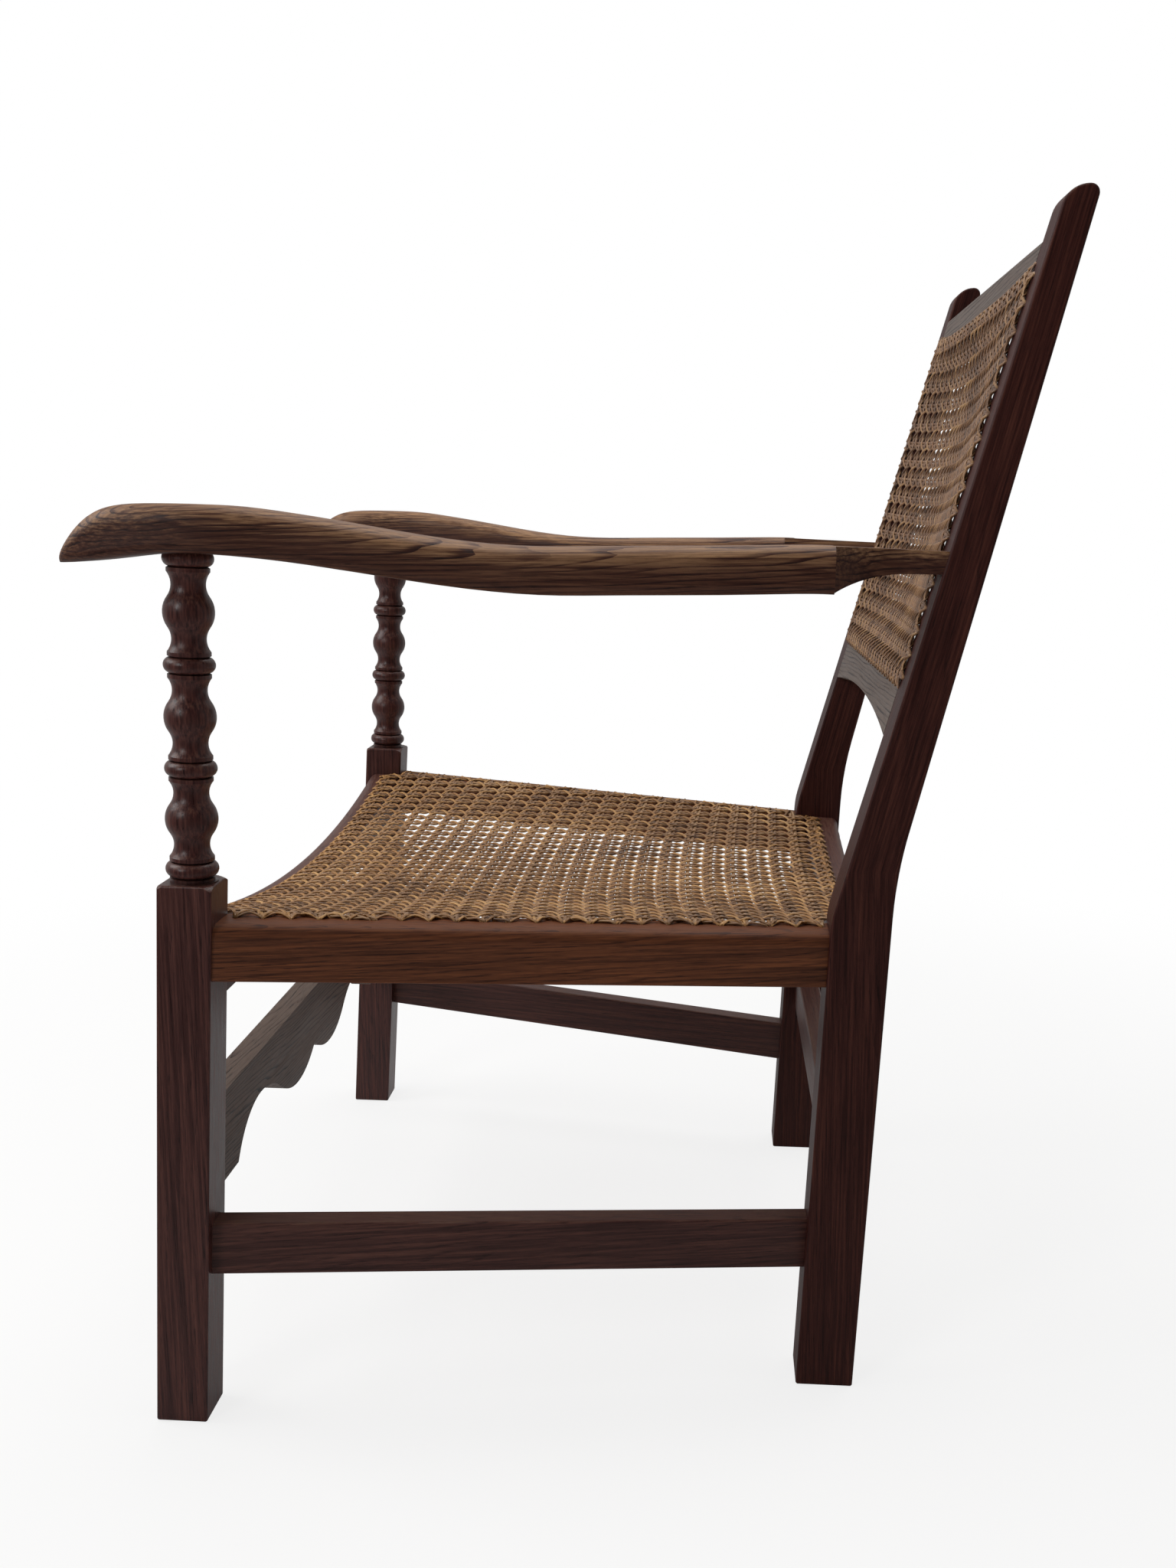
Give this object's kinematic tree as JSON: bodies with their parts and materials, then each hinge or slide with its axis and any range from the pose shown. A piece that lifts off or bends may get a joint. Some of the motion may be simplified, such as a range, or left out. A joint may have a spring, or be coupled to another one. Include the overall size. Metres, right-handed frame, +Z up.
{
  "type": "armchair",
  "caption": "Open armchair of dark stained oak with bobbin-turned arm supports, a scalloped front stretcher, sweeping flat arms and a hand-woven cane seat and back.",
  "frame": {"origin": "on the floor, in the middle of the chair's bounding box", "axes": "+Z up; -Y the way the sitter faces, so the back is towards +Y; +X to the sitter's left"},
  "size_m": [0.687, 0.668, 0.867],
  "materials": {
    "dark_oak": "dark stained oak, satin wax",
    "seat_rail_oak": "dark stained oak, rubbed lighter, satin wax",
    "arm_oak": "stained oak worn pale by hands, open grain, satin",
    "cane": "aged golden cane, slightly glossy",
    "dowel_wood": "bare hardwood"
  },
  "bodies": {
    "root": {"front_leg_left": "dark_oak", "front_leg_right": "dark_oak", "rear_post_left": "dark_oak", "rear_post_right": "dark_oak", "front_stretcher": "dark_oak", "rear_stretcher": "dark_oak", "side_stretcher_left": "dark_oak", "side_stretcher_right": "dark_oak", "back_top_rail": "dark_oak", "back_lower_rail": "dark_oak", "seat_rail_left": "seat_rail_oak", "seat_rail_right": "seat_rail_oak", "seat_rail_front": "seat_rail_oak", "seat_rail_rear": "seat_rail_oak", "arm_left": "arm_oak", "arm_right": "arm_oak", "seat_cane": "cane", "back_cane": "cane", "seat_rail_dowels": "dowel_wood", "stretcher_dowels": "dowel_wood", "back_rail_dowels": "dowel_wood", "arm_dowels": "dowel_wood"}
  },
  "joints": []
}
